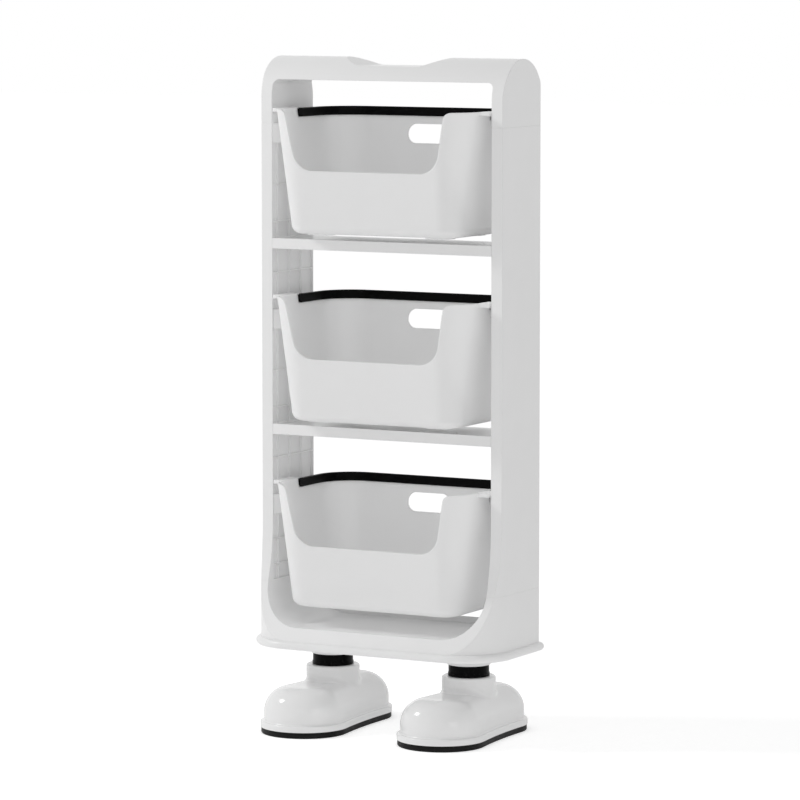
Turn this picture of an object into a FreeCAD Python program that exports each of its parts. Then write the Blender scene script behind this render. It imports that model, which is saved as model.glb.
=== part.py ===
"""Three tier storage organizer on boot shaped feet, as a parametric document.

Millimetres, +Z up, +X to the viewer's right, the front faces -Y.
The origin is on the floor, under the middle of the two boots.
"""
import FreeCAD, Part
import math
import os
import re

import Sketcher

Vector = FreeCAD.Vector

# Driving dimensions: alias, value in millimetres (shares have no unit), what it is
SIZES = [
    # Frame: the upright shell shared by the cap, the side panels and the base
    ("frame_width", 352.0, "outside width over the side panels"),
    ("frame_depth", 107.0, "depth of the upright frame, also the arch's diameter"),
    ("plan_corner", 60.0, "front corner radius of the base's outline in plan"),
    ("back_corner", 6.0, "back corner radius in plan"),
    ("panel_thick", 17.0, "side panel thickness"),
    ("tier_pitch", 240.6, "height from one basket to the next"),
    ("fit_clear", 0.2, "clearance of plug-in joints"),
    ("overrun", 5.0, "how far a cut runs past the face it cuts"),
    # Top cap with the carrying grip
    ("head_room", 36.5, "window above the upper basket's rim"),
    ("bar_height", 29.3, "height of the top bar"),
    ("window_corner", 8.0, "corner radius at the top of the window"),
    ("grip_top", 158.0, "width of the grip's dip at the top"),
    ("grip_flat", 89.0, "flat bottom of the grip's dip, a hand's width"),
    ("grip_depth", 11.0, "depth of the grip's dip"),
    ("grip_round", 22.0, "rounding where the dip's slopes begin and end"),
    ("grip_lift", 1.5, "the dip's slopes begin this far above the arch"),
    # Side panels
    ("panel_inner_wall", 6.0, "inner wall of the hollow panel"),
    ("panel_outer_wall", 3.0, "outer wall of the hollow panel"),
    ("panel_edge_wall", 7.0, "front and back walls of the hollow panel"),
    ("lattice_depth", 3.0, "depth of the cells in the inner face"),
    ("lattice_pitch", 30.0, "distance between upright ribs"),
    ("lattice_rib", 2.0, "thickness of a rib"),
    ("lattice_back", 2.0, "margin behind the last cell"),
    ("lattice_front", 2.0, "margin in front of the narrow cell"),
    ("rib_above", 47.5, "cross rib above a runner"),
    ("rib_below", 54.0, "first cross rib below a runner"),
    ("rib_next", 48.0, "next cross rib below that"),
    ("low_rib_step", 33.5, "step of the cross ribs in the lowest tier"),
    ("spigot_length", 15.0, "plug between panel and cap or base"),
    ("spigot_depth", 60.0, "size of that plug from front to back"),
    # Runners that carry the baskets' rims
    ("runner_drop", 19.5, "runner's top below the basket's rim, the upper one meets the cap's seam"),
    ("runner_height", 25.5, "runner rail height"),
    ("runner_reach", 9.5, "runner rail projection from the panel"),
    ("runner_length", 100.0, "runner rail length"),
    ("runner_lead", 19.0, "sloped lead-in at the runner's front end"),
    # Cross shelves
    ("shelf_height", 13.5, "height of the shelf's front fascia"),
    ("shelf_gap", 8.5, "gap between a basket's bottom and the fascia's top"),
    ("shelf_recess", 2.5, "how far the deck lies below the fascia's top"),
    ("shelf_deck", 3.0, "deck thickness"),
    ("shelf_lip", 3.0, "fascia and rim thickness"),
    ("shelf_rib", 2.5, "thickness of the ribs under the deck"),
    ("shelf_bays", 5.0, "number of bays under the deck"),
    ("tenon_width", 20.0, "shelf tenon from front to back"),
    ("tenon_height", 6.0, "shelf tenon height"),
    ("tenon_spread", 60.0, "distance between the two tenons of an end"),
    # Base
    ("flange_height", 10.5, "plinth flange height"),
    ("flange_reach", 6.5, "plinth flange projection"),
    ("flange_round", 5.0, "rounding of the plinth flange"),
    ("flare_reach", 46.0, "how far the front flares forward at the foot"),
    ("flare_height", 154.0, "height over which it flares"),
    ("floor_rise", 27.0, "base floor above the base's underside"),
    ("floor_thick", 3.5, "base floor thickness"),
    ("floor_corner", 55.0, "rounding between the base floor and its sides"),
    ("upstand_height", 9.0, "upstand at the back of the base floor"),
    ("upstand_thick", 3.0, "upstand thickness"),
    ("base_wall", 4.0, "base wall thickness"),
    ("boss_wall", 2.0, "wall of the leg boss"),
    ("boss_drop", 16.0, "leg boss below the base's underside"),
    # Legs
    ("leg_diameter", 52.4, "leg column diameter"),
    ("leg_inset", 76.0, "leg axis inside the frame's side"),
    ("leg_show", 15.0, "length of leg that shows"),
    ("leg_in_base", 32.0, "leg inside its boss"),
    ("leg_in_boot", 47.0, "leg inside its boot"),
    ("leg_wall", 5.0, "leg wall"),
    ("leg_web", 8.0, "webs that close the leg's ends"),
    ("leg_ring_reach", 0.7, "ring round the leg, beyond the column"),
    ("leg_ring_height", 4.0, "ring above the boot's collar"),
    # Leg bolts
    ("bolt_diameter", 8.0, "leg bolt"),
    ("bolt_head_across", 13.0, "leg bolt head across flats"),
    ("bolt_head_height", 5.3, "leg bolt head height"),
    ("bolt_into_base", 6.0, "bolt thread in the base"),
    ("bolt_clear", 0.5, "radial clearance round the bolt"),
    ("washer_diameter", 24.0, "washer under the bolt's head"),
    ("washer_thick", 2.0, "washer thickness"),
    # Boots
    ("boot_height", 71.0, "boot above its sole"),
    ("toe_radius", 57.5, "welt radius at the toe"),
    ("toe_ahead", 74.5, "toe centre ahead of the leg"),
    ("heel_radius", 50.5, "welt radius at the heel"),
    ("heel_behind", 56.0, "heel centre behind the leg"),
    ("waist_radius", 700.0, "hollow of the waist"),
    ("welt_reach", 4.5, "how far the welt stands out"),
    ("welt_height", 8.0, "welt height"),
    ("welt_round", 2.0, "rounding of the welt's upper edge"),
    ("welt_cove", 2.2, "hollow between the welt and the upper"),
    ("dome_height", 44.0, "boot's upper above the welt"),
    ("dome_round", 33.0, "rounding of the boot's upper"),
    ("collar_diameter", 69.5, "boot collar diameter"),
    ("collar_blend", 9.0, "blend from the collar to the upper"),
    ("collar_round", 3.0, "rounding of the collar's rim"),
    ("boot_wall", 12.0, "boot wall round its hollows"),
    ("boot_roof", 12.0, "boot's upper above its hollows"),
    ("boot_seat", 6.0, "web under the leg"),
    ("boot_post", 6.5, "wall between the leg and the heel's hollow"),
    ("sole_thick", 8.0, "sole thickness"),
    ("sole_inset", 1.0, "sole inside the welt"),
    ("sole_edge", 1.5, "rounding of the sole's lower edge"),
    # Baskets
    ("basket_height", 159.0, "basket height"),
    ("basket_side_gap", 2.0, "gap between a basket's flange and the panel"),
    ("basket_front", 103.0, "front ahead of the leg axis at the rim"),
    ("basket_back", 84.4, "back behind the leg axis at the rim"),
    ("basket_taper", 20.0, "how far each wall leans in at the bottom"),
    ("basket_front_corner", 45.0, "front corner radius at the rim"),
    ("basket_back_corner", 50.0, "back corner radius at the rim"),
    ("basket_wall", 2.6, "basket wall"),
    ("basket_floor", 3.0, "basket floor"),
    ("basket_bottom_round", 12.0, "rounding of the bottom edge outside"),
    ("basket_inside_round", 10.0, "rounding of the bottom edge inside"),
    ("floor_gap", 26.5, "lowest basket above the base floor"),
    ("cut_drop", 77.5, "depth of the front opening"),
    ("post_width", 27.0, "front post beside the opening at the rim"),
    ("post_slope", 15.0, "how much the post widens down to the opening's sill"),
    ("cut_round", 28.0, "lower corner radius of the front opening"),
    ("cut_lip_round", 10.0, "upper corner radius of the front opening"),
    ("slot_length", 62.0, "hand slot length"),
    ("slot_height", 25.0, "hand slot height"),
    ("slot_drop", 22.5, "hand slot below the rim"),
    ("slot_round", 12.0, "hand slot corner radius"),
    ("rim_drop", 12.2, "how far the rim is lowered where the handle lies"),
    ("rim_step", 22.0, "where the lowered rim begins, ahead of the leg axis"),
    ("flange_wide", 15.0, "side flange beyond the rim"),
    ("wing_thick", 5.0, "front wing thickness"),
    ("wing_front", 55.0, "front wing's front end ahead of the leg axis"),
    ("riser_front", 20.0, "front of the step between wing and flange, ahead of the leg axis"),
    ("riser_thick", 4.0, "thickness of that step"),
    ("flange_back", 55.0, "side flange's back end behind the leg axis"),
    ("ear_thick", 3.6, "pivot ear thickness"),
    ("ear_length", 14.0, "pivot ear length"),
    ("foot_drop", 2.0, "basket's corner feet"),
    ("foot_length", 36.0, "foot size across the front"),
    ("foot_width", 26.0, "foot size from front to back"),
    ("foot_round", 8.0, "foot corner radius"),
    ("foot_inset", 19.0, "feet inside the bottom's outline"),
    # Bail handles
    ("bail_height", 11.6, "handle band height"),
    ("bail_thick", 5.0, "handle band thickness"),
    ("bail_side_gap", 0.4, "gap between the handle and the ears"),
    ("bail_pivot_y", 17.0, "pivot ahead of the leg axis"),
    ("bail_lug", 9.2, "pivot lug diameter"),
    ("bail_lug_gap", 2.5, "from the pivot axis to the band's square end"),
    ("bail_pin", 6.0, "pivot pin diameter"),
    ("pin_clear", 0.3, "radial clearance of the pivot pin"),
    ("pin_short", 0.6, "pin end below the ear's outer face"),
    ("bail_edge", 1.2, "rounding of the handle's long edges"),
]

# Heights and reaches that follow from the driving dimensions
BOOT_TOP = "(sole_thick + boot_height)"
BOSS_BOTTOM = f"({BOOT_TOP} + leg_show)"
BASE_BOTTOM = f"({BOSS_BOTTOM} + boss_drop)"
FLANGE_TOP = f"({BASE_BOTTOM} + flange_height)"
FLOOR = f"({BASE_BOTTOM} + floor_rise)"
PANEL_FOOT = f"({FLOOR} + floor_corner)"
FLARE_START = f"({FLANGE_TOP} + flare_height)"
FLARE_RADIUS = "((flare_reach^2 + flare_height^2) / (2 * flare_reach))"
LEG_BOTTOM = f"({BOOT_TOP} - leg_in_boot)"
LEG_TOP = f"({BOSS_BOTTOM} + leg_in_base)"
HALF_FRAME = "(frame_width / 2)"
HALF_DEPTH = "(frame_depth / 2)"
HALF_WINDOW = f"({HALF_FRAME} - panel_thick)"
HALF_BASKET = f"({HALF_WINDOW} - basket_side_gap - flange_wide)"
LEG_X = f"({HALF_FRAME} - leg_inset)"
CUT_TOP = f"({HALF_BASKET} - post_width)"
CUT_LOW = f"({CUT_TOP} - post_slope)"
PLAN_FRONT = f"({HALF_DEPTH} + flare_reach)"
LEG_AXIS_Y = "((toe_ahead + toe_radius - heel_behind - heel_radius) / 2)"
WELT_TOP = "(sole_thick + welt_height)"
CORE_INNER = f"({HALF_WINDOW} + panel_inner_wall)"
CORE_OUTER = f"({HALF_FRAME} - panel_outer_wall)"
CORE_HALF = f"({HALF_DEPTH} - panel_edge_wall)"
TIERS = ("upper", "middle", "lower")
SIDES = (("left", -1), ("right", 1))

doc = FreeCAD.newDocument("StorageOrganizer")
sheet = doc.addObject("Spreadsheet::Sheet", "Sizes")
NAMES = {alias for alias, value, meaning in SIZES}


def fill_sheet():
    """Write every driving dimension into the sheet with its alias and meaning."""
    for row, (alias, value, meaning) in enumerate(SIZES, start=1):
        sheet.set(f"A{row}", str(value))
        sheet.setAlias(f"A{row}", alias)
        sheet.set(f"B{row}", meaning)
    doc.recompute()


def bound(expr):
    """The expression with each alias pointing at its cell."""
    return re.sub(r"[a-z_]+", lambda word: "Sizes." + word.group() if word.group() in NAMES else word.group(), expr)


def value(expr):
    """The number that an expression of aliases gives now."""
    return float(sheet.evalExpression(expr))


def bind(obj, prop, expr):
    """Bind one property of an object to an expression of aliases."""
    obj.setExpression(prop, bound(expr))


def rim(tier):
    """Height of a tier's basket rim; tier 0 is the upper one."""
    return f"({FLOOR} + floor_gap + basket_height + {2 - tier} * tier_pitch)"


def shelf_top(tier):
    """Height of the fascia's top under a tier's basket."""
    return f"({rim(tier)} - basket_height - shelf_gap)"


def flare_front(height):
    """How far the front face lies ahead of the leg axis at a height on the flare."""
    drop = f"({FLARE_START} - {height})"
    return f"({HALF_DEPTH} + {FLARE_RADIUS} - sqrt({FLARE_RADIUS}^2 - {drop}^2))"


SEAM = f"({rim(0)} - runner_drop)"
WINDOW_TOP = f"({rim(0)} + head_room)"
APEX = f"({WINDOW_TOP} + bar_height)"


def new_body(name):
    """A body whose own Y axis origin is the line between the legs."""
    body = doc.addObject("PartDesign::Body", name)
    body.Label = name
    bind(body, "Placement.Base.y", LEG_AXIS_Y)
    return body


def new_sketch(body, role, offset="0"):
    """A sketch on one of the body's origin planes, moved along the plane's normal."""
    sketch = body.newObject("Sketcher::SketchObject", "Sketch")
    plane = next(item for item in body.Origin.OriginFeatures if item.Role == role)
    sketch.AttachmentSupport = [(plane, "")]
    sketch.MapMode = "FlatFace"
    bind(sketch, "AttachmentOffset.Base.z", offset)
    return sketch


def pin_point(sketch, geometry, point, x, y):
    """Hold one sketch point at two expressions."""
    for kind, expr in (("DistanceX", x), ("DistanceY", y)):
        number = sketch.addConstraint(Sketcher.Constraint(kind, -1, 1, geometry, point, value(expr)))
        bind(sketch, f"Constraints[{number}]", expr)


def hold_radius(sketch, geometry, expr):
    """Hold an arc's or circle's radius at an expression."""
    number = sketch.addConstraint(Sketcher.Constraint("Radius", geometry, value(expr)))
    bind(sketch, f"Constraints[{number}]", expr)


def end_at(sketch, geometry, spot):
    """Which end of an edge lies at a spot: 1 is its start, 2 its end."""
    return 1 if sketch.getPoint(geometry, 1).distanceToPoint(spot) < sketch.getPoint(
        geometry, 2).distanceToPoint(spot) else 2


def tangent_arc(first, last, heading):
    """The arc from first to last that sets off along a heading."""
    chord = last - first
    along = heading * chord.dot(heading)
    normal = (chord - along).normalize()
    radius = chord.dot(chord) / (2 * chord.dot(normal))
    way = Vector(chord).normalize()
    rise = (heading - way * heading.dot(way)).normalize()
    return Part.Arc(first, first + normal * radius + rise * radius, last)


def outline(sketch, corners):
    """A closed outline of straight edges.

    A corner is (x, y), or (x, y, {"round": radius}) for a rounded one, or
    (x, y, {"arc": True}) where the edge that leaves it is an arc that carries on smoothly
    from the edge before.
    """
    count = len(corners)
    spots = [Vector(value(item[0]), value(item[1]), 0) for item in corners]
    notes = [item[2] if len(item) > 2 else {} for item in corners]
    starts = list(spots)
    ends = list(spots)
    for i, note in enumerate(notes):
        if "round" in note:
            way_in = (spots[i] - spots[i - 1]).normalize()
            way_out = (spots[(i + 1) % count] - spots[i]).normalize()
            trim = value(note["round"]) * math.tan(way_in.getAngle(way_out) / 2)
            ends[i] = spots[i] - way_in * trim
            starts[i] = spots[i] + way_out * trim
    edges = []
    for i, note in enumerate(notes):
        first = starts[i]
        last = ends[(i + 1) % count]
        curve = Part.LineSegment(first, last)
        if "arc" in note:
            curve = tangent_arc(first, last, (spots[i] - spots[i - 1]).normalize())
        edges.append(sketch.addGeometry(curve, False))
    for i, note in enumerate(notes):
        before = edges[i - 1]
        after = edges[i]
        before_end = end_at(sketch, before, ends[i])
        after_end = end_at(sketch, after, starts[i])
        if "round" in note:
            round_corner(sketch, corners[i], (before, before_end, ends[i]), (after, after_end, starts[i]), spots[i])
            continue
        kind = "Tangent" if "arc" in note else "Coincident"
        sketch.addConstraint(Sketcher.Constraint(kind, before, before_end, after, after_end))
        pin_point(sketch, after, after_end, corners[i][0], corners[i][1])


def round_corner(sketch, corner, way_in, way_out, spot):
    """A tangent arc between two edges, held by the sharp corner it replaces and its radius."""
    before, before_end, first = way_in
    after, after_end, last = way_out
    arc = sketch.addGeometry(tangent_arc(first, last, (spot - first).normalize()), False)
    mark = sketch.addGeometry(Part.Point(spot), True)
    pin_point(sketch, mark, 1, corner[0], corner[1])
    sketch.addConstraint([
        Sketcher.Constraint("PointOnObject", mark, 1, before),
        Sketcher.Constraint("PointOnObject", mark, 1, after),
        Sketcher.Constraint("Tangent", before, before_end, arc, end_at(sketch, arc, first)),
        Sketcher.Constraint("Tangent", arc, end_at(sketch, arc, last), after, after_end),
    ])
    hold_radius(sketch, arc, corner[2]["round"])


def rectangle(sketch, x_low, x_high, y_low, y_high, radius=None):
    """A rectangle, with rounded corners where a radius is given."""
    note = ({"round": radius},) if radius else ()
    corners = ((x_low, y_low), (x_high, y_low), (x_high, y_high), (x_low, y_high))
    outline(sketch, [corner + note for corner in corners])


def circle(sketch, x, y, radius):
    """A circle held at its centre and radius."""
    spot = Vector(value(x), value(y), 0)
    ring = sketch.addGeometry(Part.Circle(spot, Vector(0, 0, 1), value(radius)), False)
    pin_point(sketch, ring, 3, x, y)
    hold_radius(sketch, ring, radius)


def feature(body, kind, sketch, length, reverse=False, symmetric=False):
    """A pad or pocket of a sketch."""
    doc.recompute()
    item = body.newObject("PartDesign::" + kind, kind)
    item.Profile = sketch
    bind(item, "Length", length)
    item.Reversed = reverse
    if symmetric:
        item.SideType = "Symmetric"
    sketch.Visibility = False
    doc.recompute()
    return item


def pad(body, sketch, length, **options):
    """Add material."""
    return feature(body, "Pad", sketch, length, **options)


def pocket(body, sketch, length, **options):
    """Take material away, and stop if nothing was cut."""
    before = body.Shape.Volume
    item = feature(body, "Pocket", sketch, length, **options)
    if body.Shape.Volume >= before - value("fit_clear") ** 3:
        raise RuntimeError(f"{body.Label}: {item.Name} cut nothing")
    return item


def fillet(body, chosen, radius):
    """Round the edges of the body's tip that the test picks."""
    tip = body.Tip
    names = [f"Edge{i}" for i, edge in enumerate(tip.Shape.Edges, start=1) if chosen(edge)]
    if not names:
        raise RuntimeError(f"{body.Label}: no edge to round")
    item = body.newObject("PartDesign::Fillet", "Fillet")
    item.Base = (tip, names)
    bind(item, "Radius", radius)
    doc.recompute()
    return item


def level(edge, height):
    """Whether an edge lies flat at a height."""
    box = edge.BoundBox
    near = value("fit_clear") / 2
    return abs(box.ZMin - height) < near and abs(box.ZMax - height) < near


def plan_outline(sketch, grow="0"):
    """The frame's outline in plan, wide corners at the front."""
    half = f"({HALF_FRAME} + {grow})"
    front = f"-({PLAN_FRONT} + {grow})"
    back = f"({HALF_DEPTH} + {grow})"
    wide = {"round": f"(plan_corner + {grow})"}
    small = {"round": f"(back_corner + {grow})"}
    outline(sketch, [(f"-{half}", front, wide), (half, front, wide), (half, back, small), (f"-{half}", back, small)])


def trim_to_plan(body):
    """Cut away all that stands outside the frame's outline in plan."""
    sketch = new_sketch(body, "XY_Plane")
    far = f"({HALF_FRAME} + {PLAN_FRONT})"
    rectangle(sketch, f"-{far}", far, f"-{far}", far)
    plan_outline(sketch)
    pocket(body, sketch, f"3 * {APEX}", symmetric=True)


def signed(side, expr):
    """An expression on the left or the right of the middle."""
    return f"-({expr})" if side < 0 else expr


def runner(body, side, tier):
    """The rail that carries one side of a basket, with a lead-in at its front end."""
    top = f"({rim(tier)} - runner_drop)"
    sketch = new_sketch(body, "XY_Plane", f"({top} - runner_height)")
    ground = signed(side, f"({HALF_WINDOW} + lattice_depth)")
    face = signed(side, HALF_WINDOW)
    crest = signed(side, f"({HALF_WINDOW} - runner_reach)")
    front = "(-runner_length / 2)"
    outline(sketch, [(ground, front), (face, front), (crest, f"({front} + runner_lead)"), (crest, "runner_length / 2"),
                     (ground, "runner_length / 2")])
    pad(body, sketch, "runner_height")


def flare_cut(body):
    """Cut away all that stands ahead of the frame's front face and its flare."""
    sketch = new_sketch(body, "YZ_Plane")
    ahead = f"-({PLAN_FRONT} + overrun)"
    above = f"({SEAM} + overrun)"
    outline(sketch, [(f"-{HALF_DEPTH}", above), (f"-{HALF_DEPTH}", FLARE_START, {"arc": True}),
                     (f"-{PLAN_FRONT}", FLANGE_TOP), (ahead, FLANGE_TOP), (ahead, above)])
    pocket(body, sketch, "2 * frame_width", symmetric=True)


def spigots(body, plane_height, downward):
    """Plugs that stand in the panels' hollow ends."""
    sketch = new_sketch(body, "XY_Plane", plane_height)
    low = f"({CORE_INNER} + fit_clear)"
    high = f"({CORE_OUTER} - fit_clear)"
    rectangle(sketch, f"-{high}", f"-{low}", "-spigot_depth / 2", "spigot_depth / 2")
    rectangle(sketch, low, high, "-spigot_depth / 2", "spigot_depth / 2")
    pad(body, sketch, "spigot_length", reverse=downward)


def build_top_cap():
    """Arched cap: a round topped bar on two short legs, with a dip to carry it by."""
    body = new_body("top_cap")
    sketch = new_sketch(body, "YZ_Plane")
    spring = f"({APEX} - {HALF_DEPTH})"
    outline(sketch, [(f"-{HALF_DEPTH}", SEAM), (HALF_DEPTH, SEAM), (HALF_DEPTH, spring, {"arc": True}),
                     (f"-{HALF_DEPTH}", spring)])
    pad(body, sketch, "frame_width", symmetric=True)
    trim_to_plan(body)
    sketch = new_sketch(body, "XZ_Plane")
    soft = {"round": "window_corner"}
    below = f"({SEAM} - overrun)"
    outline(sketch, [(f"-{HALF_WINDOW}", below), (HALF_WINDOW, below), (HALF_WINDOW, WINDOW_TOP, soft),
                     (f"-{HALF_WINDOW}", WINDOW_TOP, soft)])
    pocket(body, sketch, "2 * frame_depth", symmetric=True)
    sketch = new_sketch(body, "XZ_Plane")
    brow = f"({APEX} + grip_lift)"
    sky = f"({APEX} + grip_lift + overrun)"
    sag = f"({APEX} - grip_depth)"
    soft = {"round": "grip_round"}
    outline(sketch, [("-grip_top / 2 - grip_round", brow), ("-grip_top / 2", brow, soft), ("-grip_flat / 2", sag, soft),
                     ("grip_flat / 2", sag, soft), ("grip_top / 2", brow, soft), ("grip_top / 2 + grip_round", brow),
                     ("grip_top / 2 + grip_round", sky), ("-grip_top / 2 - grip_round", sky)])
    pocket(body, sketch, "2 * frame_depth", symmetric=True)
    spigots(body, SEAM, True)
    return body


def lattice_bars(sketch):
    """Cross ribs and shelf seats of a panel's inner face."""
    front = f"-({HALF_DEPTH} - lattice_front)"
    back = f"({HALF_DEPTH} - lattice_back)"
    ribs = []
    for tier in range(len(TIERS)):
        rail_top = f"({rim(tier)} - runner_drop)"
        rail_low = f"({rail_top} - runner_height)"
        lowest = tier == len(TIERS) - 1
        first = "low_rib_step" if lowest else "rib_below"
        step = "low_rib_step" if lowest else "rib_next"
        ribs += [f"({rail_low} - {first})", f"({rail_low} - {first} - {step})"]
        if tier > 0:
            ribs.append(f"({rail_top} + rib_above)")
            seat = shelf_top(tier - 1)
            rectangle(sketch, front, back, f"({seat} - shelf_height)", seat)
    for height in ribs:
        rectangle(sketch, front, back, f"({height} - lattice_rib / 2)", f"({height} + lattice_rib / 2)")


def build_side_panel(name, side):
    """Hollow side panel with a lattice of cells on its inner face."""
    body = new_body("side_panel_" + name)
    sketch = new_sketch(body, "YZ_Plane", signed(side, HALF_WINDOW))
    rectangle(sketch, f"-{PLAN_FRONT}", HALF_DEPTH, PANEL_FOOT, SEAM)
    pad(body, sketch, f"{HALF_FRAME} - {HALF_WINDOW}", reverse=side < 0)
    flare_cut(body)
    trim_to_plan(body)
    # Cells: three wide columns behind a narrow one
    high = f"({SEAM} - runner_height)"
    last = f"({HALF_DEPTH} - lattice_back)"
    first_low = f"({last} - 3 * lattice_pitch + lattice_rib)"
    sketch = new_sketch(body, "YZ_Plane", signed(side, HALF_WINDOW))
    rectangle(sketch, f"-({HALF_DEPTH} - lattice_front)", f"({first_low} - lattice_rib)", PANEL_FOOT, high)
    pocket(body, sketch, "lattice_depth", reverse=side > 0)
    sketch = new_sketch(body, "YZ_Plane", signed(side, HALF_WINDOW))
    rectangle(sketch, first_low, f"({first_low} + lattice_pitch - lattice_rib)", PANEL_FOOT, high)
    cell = pocket(body, sketch, "lattice_depth", reverse=side > 0)
    columns = body.newObject("PartDesign::LinearPattern", "Columns")
    columns.Originals = [cell]
    columns.Direction = (sketch, ["H_Axis"])
    bind(columns, "Length", "2 * lattice_pitch")
    columns.Occurrences = 3
    body.Tip = columns
    doc.recompute()
    sketch = new_sketch(body, "YZ_Plane", signed(side, f"{HALF_WINDOW} + lattice_depth"))
    lattice_bars(sketch)
    pad(body, sketch, "lattice_depth", reverse=side > 0)
    # Hollow core, open at both ends for the plugs of the cap and the base
    sketch = new_sketch(body, "XY_Plane")
    low, high = (CORE_INNER, CORE_OUTER) if side > 0 else (f"-{CORE_OUTER}", f"-{CORE_INNER}")
    rectangle(sketch, low, high, f"-{CORE_HALF}", CORE_HALF)
    pocket(body, sketch, f"3 * {APEX}", symmetric=True)
    for tier in range(len(TIERS)):
        runner(body, side, tier)
    for tier in range(len(TIERS) - 1):
        shelf_sockets(body, side, tier)
    return body


def shelf_sockets(body, side, tier):
    """Slots in the panel's inner wall for a shelf end's tenons."""
    sketch = new_sketch(body, "YZ_Plane", signed(side, HALF_WINDOW))
    middle = f"({shelf_top(tier)} - shelf_height / 2)"
    low = f"({middle} - tenon_height / 2)"
    high = f"({middle} + tenon_height / 2 + fit_clear)"
    for place in ("-tenon_spread / 2", "tenon_spread / 2"):
        reach = "(tenon_width / 2 + fit_clear)"
        rectangle(sketch, f"({place} - {reach})", f"({place} + {reach})", low, high)
    pocket(body, sketch, "panel_inner_wall", reverse=side > 0)


def build_shelf(name, tier):
    """Cross shelf: fascia, sunken deck, ribs underneath and tenons at both ends."""
    body = new_body("shelf_" + name)
    top = shelf_top(tier)
    bottom = f"({top} - shelf_height)"
    half = f"({HALF_WINDOW} - fit_clear)"
    sketch = new_sketch(body, "XY_Plane", bottom)
    rectangle(sketch, f"-{half}", half, f"-{HALF_DEPTH}", HALF_DEPTH)
    pad(body, sketch, "shelf_height")
    sketch = new_sketch(body, "XY_Plane", top)
    far = f"({half} + overrun)"
    rectangle(sketch, f"-{far}", far, f"-({HALF_DEPTH} - shelf_lip)", f"({HALF_DEPTH} + overrun)")
    pocket(body, sketch, "shelf_recess")
    # Bays between ribs under the deck
    bay = f"((2 * {half} - 2 * shelf_lip - (shelf_bays - 1) * shelf_rib) / shelf_bays)"
    left = f"(-{half} + shelf_lip)"
    sketch = new_sketch(body, "XY_Plane", bottom)
    rectangle(sketch, left, f"({left} + {bay})", f"-({HALF_DEPTH} - shelf_lip)", f"({HALF_DEPTH} - shelf_lip)")
    hollow = pocket(body, sketch, "shelf_height - shelf_recess - shelf_deck", reverse=True)
    bays = body.newObject("PartDesign::LinearPattern", "Bays")
    bays.Originals = [hollow]
    bays.Direction = (sketch, ["H_Axis"])
    bind(bays, "Length", f"(shelf_bays - 1) * ({bay} + shelf_rib)")
    bays.Occurrences = int(value("shelf_bays"))
    body.Tip = bays
    doc.recompute()
    middle = f"({top} - shelf_height / 2)"
    for end, side in SIDES:
        sketch = new_sketch(body, "YZ_Plane", signed(side, half))
        for place in ("-tenon_spread / 2", "tenon_spread / 2"):
            rectangle(sketch, f"({place} - tenon_width / 2)", f"({place} + tenon_width / 2)",
                      f"({middle} - tenon_height / 2)", f"({middle} + tenon_height / 2)")
        pad(body, sketch, "panel_inner_wall", reverse=side < 0)
    return body


def window_sketch(body, floor, corner):
    """The window's round bottomed lower end, standing across the base at the upstand."""
    sketch = new_sketch(body, "XZ_Plane", f"-({HALF_DEPTH} - upstand_thick)")
    soft = {"round": corner}
    above = f"({PANEL_FOOT} + overrun)"
    outline(sketch, [(f"-{HALF_WINDOW}", floor, soft), (HALF_WINDOW, floor, soft), (HALF_WINDOW, above),
                     (f"-{HALF_WINDOW}", above)])
    return sketch


def build_base():
    """Flared base with a plinth flange, a round sided tray and two leg bosses."""
    body = new_body("base_tray")
    sketch = new_sketch(body, "XY_Plane", BASE_BOTTOM)
    plan_outline(sketch, "flange_reach")
    pad(body, sketch, "flange_height")
    fillet(body, lambda edge: level(edge, value(BASE_BOTTOM)) or level(edge, value(FLANGE_TOP)), "flange_round")
    sketch = new_sketch(body, "XY_Plane", BASE_BOTTOM)
    plan_outline(sketch)
    pad(body, sketch, f"{PANEL_FOOT} - {BASE_BOTTOM}")
    flare_cut(body)
    # Tray: open to the front over the floor, and over the upstand to the back
    pocket(body, window_sketch(body, FLOOR, "floor_corner"), "2 * frame_width", reverse=True)
    raised = f"({FLOOR} + upstand_height)"
    pocket(body, window_sketch(body, raised, "(floor_corner - upstand_height)"), "2 * frame_width")
    # Hollow underside round the leg bosses
    sketch = new_sketch(body, "XY_Plane", BASE_BOTTOM)
    ceiling = f"({FLOOR} - floor_thick)"
    half = f"({HALF_FRAME} - base_wall)"
    front = f"-({flare_front(ceiling)} - base_wall)"
    back = f"({HALF_DEPTH} - base_wall)"
    wide = {"round": "(plan_corner - base_wall)"}
    small = {"round": "back_corner"}
    outline(sketch, [(f"-{half}", front, wide), (half, front, wide), (half, back, small), (f"-{half}", back, small)])
    boss = "(leg_diameter / 2 + fit_clear + boss_wall)"
    for x in (f"-{LEG_X}", LEG_X):
        circle(sketch, x, "0", boss)
    pocket(body, sketch, f"{ceiling} - {BASE_BOTTOM}", reverse=True)
    sketch = new_sketch(body, "XY_Plane", BASE_BOTTOM)
    for x in (f"-{LEG_X}", LEG_X):
        circle(sketch, x, "0", boss)
    pad(body, sketch, "boss_drop", reverse=True)
    for radius, low, depth in (("leg_diameter / 2 + fit_clear", BOSS_BOTTOM, "leg_in_base"),
                               ("bolt_diameter / 2 + bolt_clear", LEG_TOP, "bolt_into_base")):
        sketch = new_sketch(body, "XY_Plane", low)
        for x in (f"-{LEG_X}", LEG_X):
            circle(sketch, x, "0", radius)
        pocket(body, sketch, depth, reverse=True)
    spigots(body, PANEL_FOOT, False)
    return body


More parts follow.
